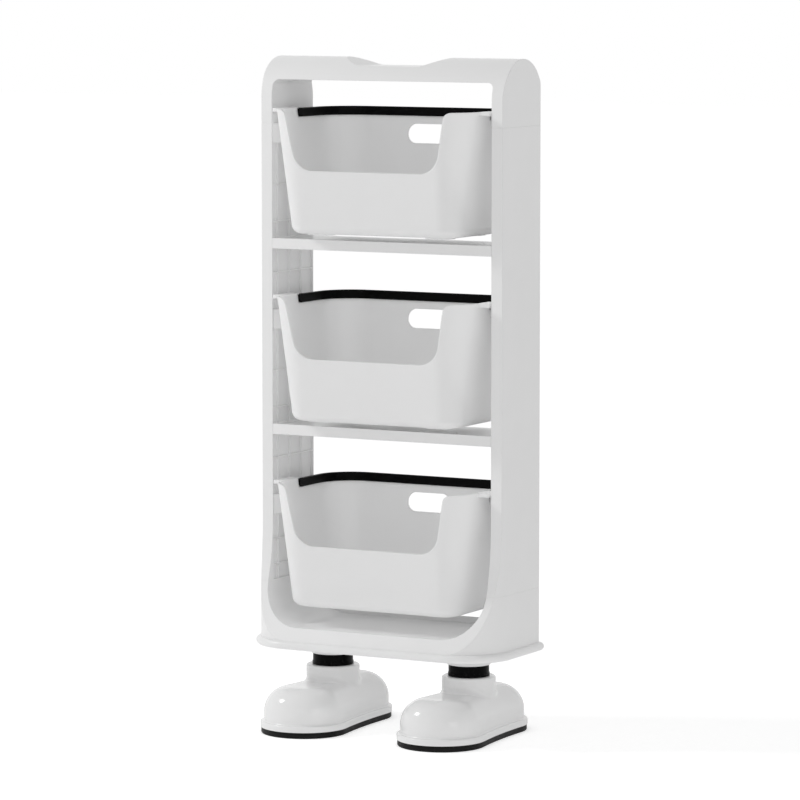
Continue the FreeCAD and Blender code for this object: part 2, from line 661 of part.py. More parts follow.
def cylinder(name, radius, low, high, x):
    """An upright cylinder on a leg's axis."""
    rod = doc.addObject("Part::Cylinder", name)
    bind(rod, "Radius", radius)
    bind(rod, "Height", f"{high} - {low}")
    bind(rod, "Placement.Base.x", x)
    bind(rod, "Placement.Base.y", LEG_AXIS_Y)
    bind(rod, "Placement.Base.z", low)
    return rod


def cut(name, solid, tools):
    """A solid less one or more tools."""
    for tool in tools:
        result = doc.addObject("Part::Cut", "bored")
        result.Base = solid
        result.Tool = tool
        solid = result
    solid.Label = name
    return solid


def build_leg(name, side):
    """Black leg column: a ringed tube closed by two webs that the bolt passes through."""
    x = signed(side, LEG_X)
    column = cylinder("leg_column", "leg_diameter / 2", LEG_BOTTOM, LEG_TOP, x)
    ring = cylinder("leg_ring", "leg_diameter / 2 + leg_ring_reach", BOOT_TOP, f"({BOOT_TOP} + leg_ring_height)", x)
    tube = doc.addObject("Part::Fuse", "leg_tube")
    tube.Base = column
    tube.Tool = ring
    bore = cylinder("leg_bore", "leg_diameter / 2 - leg_wall", f"({LEG_BOTTOM} + leg_web)", f"({LEG_TOP} - leg_web)", x)
    hole = cylinder("leg_hole", "bolt_diameter / 2 + bolt_clear", f"({LEG_BOTTOM} - overrun)", f"({LEG_TOP} + overrun)", x)
    return cut("leg_" + name, tube, (bore, hole))


SEAT_BOTTOM = f"({LEG_BOTTOM} - boot_seat)"


def build_leg_bolts():
    """One long bolt in each leg, from under the boot's seat up into the base."""
    bolts = []
    for name, side in SIDES:
        x = signed(side, LEG_X)
        head_top = f"({SEAT_BOTTOM} - washer_thick)"
        shank = cylinder("bolt_shank", "bolt_diameter / 2", head_top, f"({LEG_TOP} + bolt_into_base)", x)
        head = doc.addObject("Part::Prism", "bolt_head")
        head.Polygon = 6
        bind(head, "Circumradius", "bolt_head_across / sqrt(3)")
        bind(head, "Height", "bolt_head_height")
        bind(head, "Placement.Base.x", x)
        bind(head, "Placement.Base.y", LEG_AXIS_Y)
        bind(head, "Placement.Base.z", f"{head_top} - bolt_head_height")
        bolt = doc.addObject("Part::Fuse", "bolt")
        bolt.Base = shank
        bolt.Tool = head
        bolts.append(bolt)
    group = doc.addObject("Part::Compound", "leg_bolts")
    group.Links = bolts
    return group


def build_leg_washers():
    """A wide washer between each bolt's head and the boot's seat."""
    washers = []
    for name, side in SIDES:
        x = signed(side, LEG_X)
        low = f"({SEAT_BOTTOM} - washer_thick)"
        disc = cylinder("washer_disc", "washer_diameter / 2", low, SEAT_BOTTOM, x)
        hole = cylinder("washer_hole", "bolt_diameter / 2 + bolt_clear", f"({low} - overrun)", LEG_BOTTOM, x)
        washers.append(cut("washer", disc, (hole,)))
    group = doc.addObject("Part::Compound", "leg_washers")
    group.Links = washers
    return group


def boot_outline(sketch, x, grow):
    """Footprint of a boot: toe and heel arcs joined by two hollow waist arcs."""
    toe_r, heel_r, waist_r = (f"(toe_radius + {grow})", f"(heel_radius + {grow})", f"(waist_radius - {grow})")
    toe = Vector(value(x), -value("toe_ahead"), 0)
    heel = Vector(value(x), value("heel_behind"), 0)
    span = (heel - toe).Length
    far_toe = value(toe_r) + value(waist_r)
    far_heel = value(heel_r) + value(waist_r)
    along = (far_toe ** 2 - far_heel ** 2 + span ** 2) / (2 * span)
    out = math.sqrt(far_toe ** 2 - along ** 2)
    joints = {}
    waists = {}
    for side in (-1, 1):
        hub = toe + Vector(side * out, along, 0)
        joints[side] = (toe + (hub - toe).normalize() * value(toe_r), heel + (hub - heel).normalize() * value(heel_r))
        waists[side] = hub + Vector(-side * value(waist_r), 0, 0)
    toe_tip = toe - Vector(0, value(toe_r), 0)
    heel_tip = heel + Vector(0, value(heel_r), 0)
    arcs = {"toe": sketch.addGeometry(Part.Arc(joints[-1][0], toe_tip, joints[1][0]), False),
            "heel": sketch.addGeometry(Part.Arc(joints[1][1], heel_tip, joints[-1][1]), False)}
    for side in (-1, 1):
        arcs[side] = sketch.addGeometry(Part.Arc(joints[side][0], waists[side], joints[side][1]), False)
        for end, place in (("toe", 0), ("heel", 1)):
            spot = joints[side][place]
            sketch.addConstraint(Sketcher.Constraint("Tangent", arcs[end], end_at(sketch, arcs[end], spot),
                                                     arcs[side], end_at(sketch, arcs[side], spot)))
        hold_radius(sketch, arcs[side], waist_r)
    pin_point(sketch, arcs["toe"], 3, x, "-toe_ahead")
    pin_point(sketch, arcs["heel"], 3, x, "heel_behind")
    hold_radius(sketch, arcs["toe"], toe_r)
    hold_radius(sketch, arcs["heel"], heel_r)


def build_boot(name, side):
    """Round toed boot: welt, domed upper and a collar round the leg, hollow underneath."""
    body = new_body("boot_" + name)
    x = signed(side, LEG_X)
    sketch = new_sketch(body, "XY_Plane", WELT_TOP)
    boot_outline(sketch, x, "(-welt_reach)")
    pad(body, sketch, "dome_height")
    fillet(body, lambda edge: level(edge, value(f"{WELT_TOP} + dome_height")), "dome_round")
    sketch = new_sketch(body, "XY_Plane", WELT_TOP)
    circle(sketch, x, "0", "collar_diameter / 2")
    pad(body, sketch, f"{BOOT_TOP} - {WELT_TOP}")
    dome_low = value(f"{WELT_TOP} + dome_height - dome_round / 2")
    collar_r = value("collar_diameter / 2")
    axis = Vector(value(x), 0, 0)

    def on_collar(edge):
        spots = [vertex.Point for vertex in edge.Vertexes]
        flat = [Vector(spot.x, spot.y, 0).distanceToPoint(axis) for spot in spots]
        return edge.BoundBox.ZMin > dome_low and edge.BoundBox.ZMax < value(BOOT_TOP) - value("collar_round") and all(
            abs(reach - collar_r) < value("fit_clear") / 2 for reach in flat)

    fillet(body, on_collar, "collar_blend")
    fillet(body, lambda edge: level(edge, value(BOOT_TOP)), "collar_round")
    sketch = new_sketch(body, "XY_Plane", "sole_thick")
    boot_outline(sketch, x, "0")
    pad(body, sketch, "welt_height")
    fillet(body, lambda edge: level(edge, value(WELT_TOP)) and is_welt_rim(edge, x, "0"), "welt_round")
    fillet(body, lambda edge: level(edge, value(WELT_TOP)) and is_welt_rim(edge, x, "welt_reach"), "welt_cove")
    # Hollow toe and heel, open below, with the seat of the leg between them
    sketch = new_sketch(body, "XY_Plane", "sole_thick")
    circle(sketch, x, "-toe_ahead", "toe_radius - welt_reach - boot_wall")
    circle(sketch, x, "heel_behind", "heel_behind - leg_diameter / 2 - boot_post")
    pocket(body, sketch, "welt_height + dome_height - boot_roof", reverse=True)
    for radius, low, high in (("leg_diameter / 2 + fit_clear", LEG_BOTTOM, f"({BOOT_TOP} + overrun)"),
                              ("bolt_diameter / 2 + bolt_clear", f"({SEAT_BOTTOM} - overrun)", LEG_BOTTOM),
                              ("leg_diameter / 2", "sole_thick", SEAT_BOTTOM)):
        sketch = new_sketch(body, "XY_Plane", low)
        circle(sketch, x, "0", radius)
        pocket(body, sketch, f"{high} - {low}", reverse=True)
    return body


def is_welt_rim(edge, x, inset):
    """Whether an edge at the welt's top runs along the boot's outline at an inset."""
    middle = edge.valueAt((edge.FirstParameter + edge.LastParameter) / 2)
    local = Vector(middle.x - value(x), middle.y, 0)
    toe = local.distanceToPoint(Vector(0, -value("toe_ahead"), 0))
    heel = local.distanceToPoint(Vector(0, value("heel_behind"), 0))
    waist = edge.Curve.Radius if hasattr(edge.Curve, "Radius") else 0
    near = value("welt_reach") / 4
    in_from = value(inset)
    return any((abs(toe - value("toe_radius") + in_from) < near and local.y < 0,
                abs(heel - value("heel_radius") + in_from) < near,
                abs(waist - value("waist_radius") - in_from) < near))


def build_sole(name, side):
    """Black sole under a boot, with a rounded lower edge."""
    body = new_body("sole_" + name)
    x = signed(side, LEG_X)
    sketch = new_sketch(body, "XY_Plane")
    boot_outline(sketch, x, "(-sole_inset)")
    pad(body, sketch, "sole_thick")
    fillet(body, lambda edge: level(edge, 0.0), "sole_edge")
    return body


def basket_outline(sketch, lean):
    """A basket's outline with every wall moved in by a lean."""
    half = f"({HALF_BASKET} - {lean})"
    front = f"-(basket_front - {lean})"
    back = f"(basket_back - {lean})"
    wide = {"round": f"(basket_front_corner - {lean})"}
    rear = {"round": f"(basket_back_corner - {lean})"}
    outline(sketch, [(f"-{half}", front, wide), (half, front, wide), (half, back, rear), (f"-{half}", back, rear)])


def basket_loft(body, kind, low, low_lean, high, high_lean):
    """A tapered loft between two basket outlines."""
    bottom = new_sketch(body, "XY_Plane", low)
    basket_outline(bottom, low_lean)
    top = new_sketch(body, "XY_Plane", high)
    basket_outline(top, high_lean)
    doc.recompute()
    loft = body.newObject("PartDesign::" + kind, kind)
    loft.Profile = bottom
    loft.Sections = [top]
    loft.Ruled = True
    bottom.Visibility = False
    top.Visibility = False
    doc.recompute()


def basket_shell(body, top, bottom):
    """The tapered tub with its rounded bottom."""
    basket_loft(body, "AdditiveLoft", bottom, "basket_taper", top, "0")
    inside = f"({bottom} + basket_floor)"
    lean = "(basket_wall + basket_taper * (basket_height - basket_floor) / basket_height)"
    basket_loft(body, "SubtractiveLoft", inside, lean, top, "basket_wall")
    fillet(body, lambda edge: level(edge, value(inside)), "basket_inside_round")
    fillet(body, lambda edge: level(edge, value(bottom)), "basket_bottom_round")


def basket_feet(body, bottom):
    """Four low feet under the corners."""
    sketch = new_sketch(body, "XY_Plane", bottom)
    outer = f"({HALF_BASKET} - basket_taper - foot_inset)"
    inner = f"({outer} - foot_length)"
    front = "(basket_front - basket_taper - foot_inset)"
    back = "(basket_back - basket_taper - foot_inset)"
    for near, far in ((f"-{front}", f"(foot_width - {front})"), (f"({back} - foot_width)", back)):
        rectangle(sketch, inner, outer, near, far, "foot_round")
        rectangle(sketch, f"-{outer}", f"-{inner}", near, far, "foot_round")
    pad(body, sketch, "foot_drop", reverse=True)


def basket_side(body, side, top):
    """One side's hanging flange: a front wing, a step down and a rear flange, with the pivot ear."""
    sketch = new_sketch(body, "YZ_Plane", signed(side, f"({HALF_BASKET} + flange_wide)"))
    under = f"({top} - runner_drop)"
    ledge = f"({top} - rim_drop)"
    wing_low = f"({top} - wing_thick)"
    step = "-(riser_front - riser_thick)"
    outline(sketch, [("-wing_front", wing_low), ("-riser_front", wing_low), ("-riser_front", under),
                     ("flange_back", under), ("flange_back", ledge), (step, ledge), (step, top), ("-wing_front", top)])
    pad(body, sketch, "flange_wide + basket_wall", reverse=side > 0)
    inner = f"({HALF_BASKET} + bail_side_gap)"
    sketch = new_sketch(body, "YZ_Plane", signed(side, f"({inner} + ear_thick)"))
    rectangle(sketch, "-(bail_pivot_y + ear_length / 2)", "-(bail_pivot_y - ear_length / 2)", under, top)
    pad(body, sketch, "ear_thick", reverse=side > 0)


def build_basket(name, tier):
    """Tapered basket with a low front, a hand slot at the back and hanging flanges."""
    body = new_body("basket_" + name)
    top = rim(tier)
    bottom = f"({top} - basket_height)"
    basket_shell(body, top, bottom)
    basket_feet(body, bottom)
    for end, side in SIDES:
        basket_side(body, side, top)
    # The rim is lowered where the handle lies
    sketch = new_sketch(body, "XY_Plane", top)
    inner = f"({HALF_BASKET} + bail_side_gap)"
    rectangle(sketch, f"-{inner}", inner, "-rim_step", "(basket_back + overrun)")
    pocket(body, sketch, "rim_drop")
    # Low front
    sketch = new_sketch(body, "XZ_Plane")
    sill = f"({top} - cut_drop)"
    sky = f"({top} + overrun)"
    wide = f"({CUT_TOP} + cut_lip_round + overrun)"
    lip = {"round": "cut_lip_round"}
    low = {"round": "cut_round"}
    outline(sketch, [(f"-{wide}", top), (f"-{CUT_TOP}", top, lip), (f"-{CUT_LOW}", sill, low),
                     (CUT_LOW, sill, low), (CUT_TOP, top, lip), (wide, top), (wide, sky), (f"-{wide}", sky)])
    pocket(body, sketch, "basket_front + overrun", reverse=True)
    # Hand slot
    sketch = new_sketch(body, "XZ_Plane")
    slot_top = f"({top} - slot_drop)"
    rectangle(sketch, "-slot_length / 2", "slot_length / 2", f"({slot_top} - slot_height)", slot_top, "slot_round")
    pocket(body, sketch, "basket_back + overrun")
    # Pivot holes
    sketch = new_sketch(body, "YZ_Plane")
    circle(sketch, "-bail_pivot_y", f"({top} - rim_drop / 2)", "bail_pin / 2 + pin_clear")
    pocket(body, sketch, f"2 * ({inner} + ear_thick)", symmetric=True)
    return body


def build_handle(name, tier):
    """Bail handle: a band bent round the lowered rim, with a lug and pin at each end."""
    body = new_body("handle_" + name)
    axis = f"({rim(tier)} - rim_drop / 2)"
    low = f"({rim(tier)} - rim_drop)"
    high = f"({low} + bail_height)"
    start = "(bail_lug_gap - bail_pivot_y)"
    inner_half = f"({HALF_BASKET} - bail_thick)"
    inner_back = "(basket_back - bail_thick)"
    big = {"round": "basket_back_corner"}
    small = {"round": "(basket_back_corner - bail_thick)"}
    sketch = new_sketch(body, "XY_Plane", low)
    outline(sketch, [(f"-{HALF_BASKET}", start), (f"-{inner_half}", start), (f"-{inner_half}", inner_back, small),
                     (inner_half, inner_back, small), (inner_half, start), (HALF_BASKET, start),
                     (HALF_BASKET, "basket_back", big), (f"-{HALF_BASKET}", "basket_back", big)])
    pad(body, sketch, "bail_height")
    fillet(body, lambda edge: level(edge, value(low)) or level(edge, value(high)), "bail_edge")
    for end, side in SIDES:
        sketch = new_sketch(body, "YZ_Plane", signed(side, HALF_BASKET))
        circle(sketch, "-bail_pivot_y", axis, "bail_lug / 2")
        pad(body, sketch, "bail_thick", reverse=side > 0)
        sketch = new_sketch(body, "YZ_Plane", signed(side, HALF_BASKET))
        circle(sketch, "-bail_pivot_y", axis, "bail_pin / 2")
        pad(body, sketch, "bail_side_gap + ear_thick - pin_short", reverse=side < 0)
    return body


def build_all():
    """Every sub-part, in the order of assembly."""
    parts = [build_top_cap(), build_base()]
    for name, side in SIDES:
        parts.append(build_side_panel(name, side))
        parts.append(build_leg(name, side))
        parts.append(build_boot(name, side))
        parts.append(build_sole(name, side))
    parts += [build_leg_bolts(), build_leg_washers()]
    for tier, name in enumerate(TIERS[:2]):
        shelf_name = ("upper", "lower")[tier]
        parts.append(build_shelf(shelf_name, tier))
    for tier, name in enumerate(TIERS):
        parts.append(build_basket(name, tier))
        parts.append(build_handle(name, tier))
    doc.recompute()
    return parts


def check_and_export(parts):
    """Stop on any failed object, then write one file for each sub-part."""
    for item in doc.Objects:
        if "Invalid" in item.State or "Error" in item.State:
            raise RuntimeError(f"{item.Name} ({item.Label}) failed: {item.State}")
    for part in parts:
        shape = part.Shape
        if shape.isNull() or not shape.isValid():
            raise RuntimeError(f"{part.Label} has no valid shape")
    os.makedirs("parts", exist_ok=True)
    for part in parts:
        box = part.Shape.BoundBox
        print(f"{part.Label}: {len(part.Shape.Solids)} solid(s), {part.Shape.Volume:.0f} mm3, "
              f"X {box.XMin:.1f} to {box.XMax:.1f}, Y {box.YMin:.1f} to {box.YMax:.1f}, Z {box.ZMin:.1f} to {box.ZMax:.1f}")
        part.Shape.exportStep(f"parts/{part.Label}.step")


fill_sheet()
check_and_export(build_all())
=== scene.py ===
"""Looks of the storage organizer: finishes for the moulded pieces, studio and camera."""
import math
from collections import namedtuple

import bpy
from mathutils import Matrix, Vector


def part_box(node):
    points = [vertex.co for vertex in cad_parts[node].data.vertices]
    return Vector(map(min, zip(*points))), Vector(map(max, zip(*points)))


bl_info = {
    "name": "Storage organizer",
    "version": (1, 0, 0),
    "blender": (4, 5, 0),
    "location": "3D View > Sidebar > Organizer",
    "description": "Finishes a three tier storage organizer on boot shaped feet and sets up its studio",
    "category": "Object",
}

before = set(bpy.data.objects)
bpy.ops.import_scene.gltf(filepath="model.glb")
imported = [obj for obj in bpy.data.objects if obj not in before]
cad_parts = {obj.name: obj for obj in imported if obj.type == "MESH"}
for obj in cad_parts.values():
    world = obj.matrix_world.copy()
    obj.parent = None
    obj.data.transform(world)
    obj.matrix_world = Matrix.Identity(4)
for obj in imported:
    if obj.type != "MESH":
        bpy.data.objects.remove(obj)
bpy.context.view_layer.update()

# Softening of the moulded edges, in metres: crisp on the frame, rolled on the baskets' lips
MOULD_EDGE = 0.0009
LIP_EDGE = 0.002

# How deep light spreads in the baskets' plastic, in metres
MILKY_DEPTH = 0.008

# How far a moulding's colour wanders with its slow ripple
TINT_DRIFT = 0.015

# A moulded skin: refraction, specular level, size and depth in metres of the tool's grain and of the slow
# sink ripple, and how far the gloss wanders. The real grain is about 0.1 mm, and it is drawn ten times as
# coarse so that it shows
Skin = namedtuple("Skin", "ior shine grain grain_depth ripple ripple_depth gloss_drift")
BLASTED_ABS = Skin(
    ior=1.53, shine=0.4, grain=0.0012, grain_depth=0.00001,
    ripple=0.045, ripple_depth=0.00015, gloss_drift=0.04)
POLISHED_ABS = Skin(
    ior=1.53, shine=0.5, grain=0.0012, grain_depth=0.000004,
    ripple=0.045, ripple_depth=0.00006, gloss_drift=0.02)
WAXY_POLYPROPYLENE = Skin(
    ior=1.49, shine=0.5, grain=0.001, grain_depth=0.000012,
    ripple=0.05, ripple_depth=0.0002, gloss_drift=0.05)
ERODED_ABS = Skin(
    ior=1.53, shine=0.055, grain=0.0009, grain_depth=0.00002,
    ripple=0.03, ripple_depth=0.0002, gloss_drift=0.05)
COARSE_RUBBER = Skin(
    ior=1.52, shine=0.18, grain=0.0015, grain_depth=0.00006,
    ripple=0.02, ripple_depth=0.0002, gloss_drift=0.08)

# Zinc plating: colour, size of the turned grain in metres, smoothest and roughest gloss
ZINC_COLOR = "B9BEC4"
ZINC_GRAIN = 0.0012
ZINC_ROUGHNESS = (0.28, 0.45)

# The floor: paper colour, side in metres, the distances in metres between which the lamps' light fades,
# and how much more brightness of its own it has beyond them
PAPER_COLOR = "F4F4F4"
FLOOR_SIDE = 40.0
LAMPLIT = (1.0, 3.0)
FAR_LIFT = 0.06

# Softboxes round the object: power setting, degrees to the left of the front, degrees up, distance and size
# in metres
SOFTBOXES = (
    ("key_power", 66.0, 33.0, 2.4, 0.4),
    ("front_power", -28.0, 12.0, 4.5, 1.5),
    ("right_power", -60.0, 12.0, 4.2, 1.6),
)

# White walls that face each other hand light on many times, so it is followed further than usual
WALL_BOUNCES = 12
ALL_BOUNCES = 16

# The camera's sensor width in millimetres and how far it sees in metres
SENSOR_WIDTH = 36.0
VIEW_REACH = 100.0

WHITE = (1, 1, 1, 1)

# Which moulded pieces share a finish
SHELL_NODES = ("top_cap", "side_panel_left", "side_panel_right", "shelf_upper", "shelf_lower", "base_tray")
BOOT_NODES = ("boot_left", "boot_right")
SOLE_NODES = ("sole_left", "sole_right")
LEG_NODES = ("leg_left", "leg_right")
BASKET_NODES = ("basket_upper", "basket_middle", "basket_lower")
HANDLE_NODES = ("handle_upper", "handle_middle", "handle_lower")
HARDWARE_NODES = ("leg_bolts", "leg_washers")


def linear_rgb(hex_text):
    """Linear colour with full alpha of an sRGB hex value."""
    channels = [int(hex_text[i:i + 2], 16) / 255 for i in (0, 2, 4)]
    return [c / 12.92 if c <= 0.04045 else ((c + 0.055) / 1.055) ** 2.4 for c in channels] + [1.0]


def add_node(tree, kind, settings=None, links=None):
    """Add a node, set its sockets or properties by name and link its inputs."""
    node = tree.nodes.new(kind)
    for name, setting in (settings or {}).items():
        if name in node.inputs:
            node.inputs[name].default_value = setting
        else:
            setattr(node, name, setting)
    for name, socket in (links or {}).items():
        tree.links.new(socket, node.inputs[name])
    return node


def new_material(name):
    """An empty node material and its tree."""
    material = bpy.data.materials.new(name)
    material.use_nodes = True
    material.node_tree.nodes.clear()
    return material, material.node_tree


def per_length(size):
    """Texture scale that repeats about once in a length in metres."""
    return 1 / size


def dress(names, material):
    """Give CAD nodes a material."""
    for name in names:
        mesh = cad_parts[name].data
        mesh.materials.clear()
        mesh.materials.append(material)


def moulded_plastic(name, color, roughness, skin, soft_edge=MOULD_EDGE, milky=0.0):
    """Injection moulded plastic with a skin.

    soft_edge is the roundness of its edges and milky how much light goes through its walls.
    """
    material, tree = new_material(name)
    place = add_node(tree, "ShaderNodeTexCoord").outputs["Object"]
    fine = add_node(tree, "ShaderNodeTexNoise", {"Scale": per_length(skin.grain), "Detail": 2.0},
                    {"Vector": place})
    slow = add_node(tree, "ShaderNodeTexNoise", {"Scale": per_length(skin.ripple), "Detail": 1.0},
                    {"Vector": place})
    gloss = add_node(tree, "ShaderNodeMapRange",
                     {"To Min": roughness - skin.gloss_drift, "To Max": roughness + skin.gloss_drift},
                     {"Value": slow.outputs["Fac"]})
    drift = add_node(tree, "ShaderNodeMapRange", {"To Min": 1 - TINT_DRIFT, "To Max": 1 + TINT_DRIFT},
                     {"Value": slow.outputs["Fac"]})
    tint = add_node(tree, "ShaderNodeHueSaturation", {"Color": linear_rgb(color)},
                    {"Value": drift.outputs["Result"]})
    edge = add_node(tree, "ShaderNodeBevel", {"samples": 6, "Radius": soft_edge})
    ripple = add_node(tree, "ShaderNodeBump", {"Strength": 1.0, "Distance": skin.ripple_depth},
                      {"Height": slow.outputs["Fac"], "Normal": edge.outputs["Normal"]})
    grain = add_node(tree, "ShaderNodeBump", {"Strength": 1.0, "Distance": skin.grain_depth},
                     {"Height": fine.outputs["Fac"], "Normal": ripple.outputs["Normal"]})
    surface = add_node(tree, "ShaderNodeBsdfPrincipled",
                       {"IOR": skin.ior, "Specular IOR Level": skin.shine, "Subsurface Weight": milky,
                        "Subsurface Radius": (1, 1, 1), "Subsurface Scale": MILKY_DEPTH},
                       {"Base Color": tint.outputs["Color"], "Roughness": gloss.outputs["Result"],
                        "Normal": grain.outputs["Normal"]})
    add_node(tree, "ShaderNodeOutputMaterial", None, {"Surface": surface.outputs["BSDF"]})
    return material


def satin_white_abs(finish):
    """White ABS from a finely blasted tool: an even bright body with broad, soft reflections."""
    return moulded_plastic("satin_white_abs", finish.shell_color, finish.shell_roughness, BLASTED_ABS)


def gloss_white_abs(finish):
    """White ABS from a polished tool: the same body, with small clear highlights on its crowns."""
    return moulded_plastic("gloss_white_abs", finish.shell_color, finish.boot_roughness, POLISHED_ABS)


def satin_white_polypropylene(finish):
    """White polypropylene: a waxy satin whose thin walls glow a little with the light behind them."""
    return moulded_plastic("satin_white_polypropylene", finish.basket_color, finish.basket_roughness,
                           WAXY_POLYPROPYLENE, LIP_EDGE, finish.basket_milky)


def satin_black_abs(finish):
    """Black ABS with a fine spark eroded skin: deep black with a soft broad sheen."""
    return moulded_plastic("satin_black_abs", finish.black_color, finish.black_roughness, ERODED_ABS)


def moulded_black_rubber(finish):
    """Black rubber: matt, with a coarse moulded skin that breaks up any highlight."""
    return moulded_plastic("moulded_black_rubber", finish.sole_color, finish.sole_roughness, COARSE_RUBBER)


def zinc_plated_steel():
    """Zinc plated steel: bluish grey metal with a fine turned grain."""
    material, tree = new_material("zinc_plated_steel")
    place = add_node(tree, "ShaderNodeTexCoord").outputs["Object"]
    grain = add_node(tree, "ShaderNodeTexNoise", {"Scale": per_length(ZINC_GRAIN), "Detail": 3.0},
                     {"Vector": place})
    gloss = add_node(tree, "ShaderNodeMapRange", {"To Min": ZINC_ROUGHNESS[0], "To Max": ZINC_ROUGHNESS[1]},
                     {"Value": grain.outputs["Fac"]})
    surface = add_node(tree, "ShaderNodeBsdfPrincipled",
                       {"Base Color": linear_rgb(ZINC_COLOR), "Metallic": 1.0},
                       {"Roughness": gloss.outputs["Result"]})
    add_node(tree, "ShaderNodeOutputMaterial", None, {"Surface": surface.outputs["BSDF"]})
    return material


class OrganizerFinish(bpy.types.PropertyGroup):
    """Colours and gloss of the moulded pieces."""
    shell_color: bpy.props.StringProperty(
        name="Shell colour", description="sRGB hex of frame and boots", default="F5F5F5")
    shell_roughness: bpy.props.FloatProperty(
        name="Shell roughness", description="Gloss of the frame",
        default=0.3, min=0, max=1, subtype="FACTOR")
    boot_roughness: bpy.props.FloatProperty(
        name="Boot roughness", description="Gloss of the boots",
        default=0.13, min=0, max=1, subtype="FACTOR")
    basket_color: bpy.props.StringProperty(
        name="Basket colour", description="sRGB hex of the baskets", default="F6F6F6")
    basket_roughness: bpy.props.FloatProperty(
        name="Basket roughness", description="Gloss of the baskets",
        default=0.38, min=0, max=1, subtype="FACTOR")
    basket_milky: bpy.props.FloatProperty(
        name="Basket milkiness", description="Share of light that spreads in the baskets' walls",
        default=0.85, min=0, max=1, subtype="FACTOR")
    black_color: bpy.props.StringProperty(
        name="Black colour", description="sRGB hex of handles and legs", default="030303")
    black_roughness: bpy.props.FloatProperty(
        name="Black roughness", description="Gloss of handles and legs",
        default=0.32, min=0, max=1, subtype="FACTOR")
    sole_color: bpy.props.StringProperty(
        name="Sole colour", description="sRGB hex of the soles", default="040404")
    sole_roughness: bpy.props.FloatProperty(
        name="Sole roughness", description="Gloss of the soles",
        default=0.5, min=0, max=1, subtype="FACTOR")


class OrganizerStudio(bpy.types.PropertyGroup):
    """Camera and light."""
    azimuth: bpy.props.FloatProperty(
        name="Azimuth", description="Camera round to the object's right",
        default=math.radians(28.47), subtype="ANGLE")
    pitch: bpy.props.FloatProperty(
        name="Pitch", description="How far the camera looks down",
        default=math.radians(5.89), subtype="ANGLE")
    distance: bpy.props.FloatProperty(
        name="Distance", description="Camera to the legs' axis",
        default=5.7536, unit="LENGTH", subtype="DISTANCE")
    lens: bpy.props.FloatProperty(
        name="Lens", description="Focal length in millimetres", default=201.1)
    aim_height: bpy.props.FloatProperty(
        name="Aim height", description="Height in the middle of the picture",
        default=0.4292, unit="LENGTH", subtype="DISTANCE")
    aim_aside: bpy.props.FloatProperty(
        name="Aim aside", description="Aim to the left of the legs' axis",
        default=0.0005, unit="LENGTH", subtype="DISTANCE")
    ambient: bpy.props.FloatProperty(
        name="Ambient", description="Light from all round", default=0.5, min=0)
    mirrored: bpy.props.FloatProperty(
        name="Mirrored", description="Brightness of the room in reflections", default=1.0, min=0)
    floor_lift: bpy.props.FloatProperty(
        name="Floor lift", description="Own brightness of the floor in the picture", default=0.5, min=0)
    floor_glow: bpy.props.FloatProperty(
        name="Floor glow", description="Light that the lit table throws up", default=0.22, min=0)
    key_power: bpy.props.FloatProperty(
        name="Key", description="Softbox high on the left, in watts", default=17.5, min=0)
    front_power: bpy.props.FloatProperty(
        name="Front", description="Wide softbox by the camera, in watts", default=3.0, min=0)
    right_power: bpy.props.FloatProperty(
        name="Right", description="Wide softbox on the right, in watts", default=9.0, min=0)


class ORGANIZER_OT_shell(bpy.types.Operator):
    """Finish the cap, side panels, shelves and base"""
    bl_idname = "organizer.shell"
    bl_label = "Frame"

    def execute(self, context):
        dress(SHELL_NODES, satin_white_abs(context.scene.organizer_finish))
        return {"FINISHED"}


class ORGANIZER_OT_boots(bpy.types.Operator):
    """Finish the boots"""
    bl_idname = "organizer.boots"
    bl_label = "Boots"

    def execute(self, context):
        dress(BOOT_NODES, gloss_white_abs(context.scene.organizer_finish))
        return {"FINISHED"}


class ORGANIZER_OT_baskets(bpy.types.Operator):
    """Finish the baskets"""
    bl_idname = "organizer.baskets"
    bl_label = "Baskets"

    def execute(self, context):
        dress(BASKET_NODES, satin_white_polypropylene(context.scene.organizer_finish))
        return {"FINISHED"}


class ORGANIZER_OT_black(bpy.types.Operator):
    """Finish the handles and leg columns"""
    bl_idname = "organizer.black"
    bl_label = "Handles and legs"

    def execute(self, context):
        dress(HANDLE_NODES + LEG_NODES, satin_black_abs(context.scene.organizer_finish))
        return {"FINISHED"}


class ORGANIZER_OT_soles(bpy.types.Operator):
    """Finish the soles"""
    bl_idname = "organizer.soles"
    bl_label = "Soles"

    def execute(self, context):
        dress(SOLE_NODES, moulded_black_rubber(context.scene.organizer_finish))
        return {"FINISHED"}


class ORGANIZER_OT_hardware(bpy.types.Operator):
    """Finish the leg bolts and washers"""
    bl_idname = "organizer.hardware"
    bl_label = "Bolts and washers"

    def execute(self, context):
        dress(HARDWARE_NODES, zinc_plated_steel())
        return {"FINISHED"}


def studio_world(scene, studio):
    """White to the camera and in reflections, and a plain soft light on everything else."""
    world = bpy.data.worlds.new("studio")
    scene.world = world
    world.use_nodes = True
    tree = world.node_tree
    tree.nodes.clear()
    ray = add_node(tree, "ShaderNodeLightPath")
    lit = add_node(tree, "ShaderNodeMapRange", {"To Min": studio.ambient, "To Max": studio.mirrored},
                   {"Value": ray.outputs["Is Glossy Ray"]})
    seen = add_node(tree, "ShaderNodeMapRange", {"To Max": 1.0},
                    {"Value": ray.outputs["Is Camera Ray"], "To Min": lit.outputs["Result"]})
    light = add_node(tree, "ShaderNodeBackground", {"Color": WHITE}, {"Strength": seen.outputs["Result"]})
    add_node(tree, "ShaderNodeOutputWorld", None, {"Surface": light.outputs["Background"]})


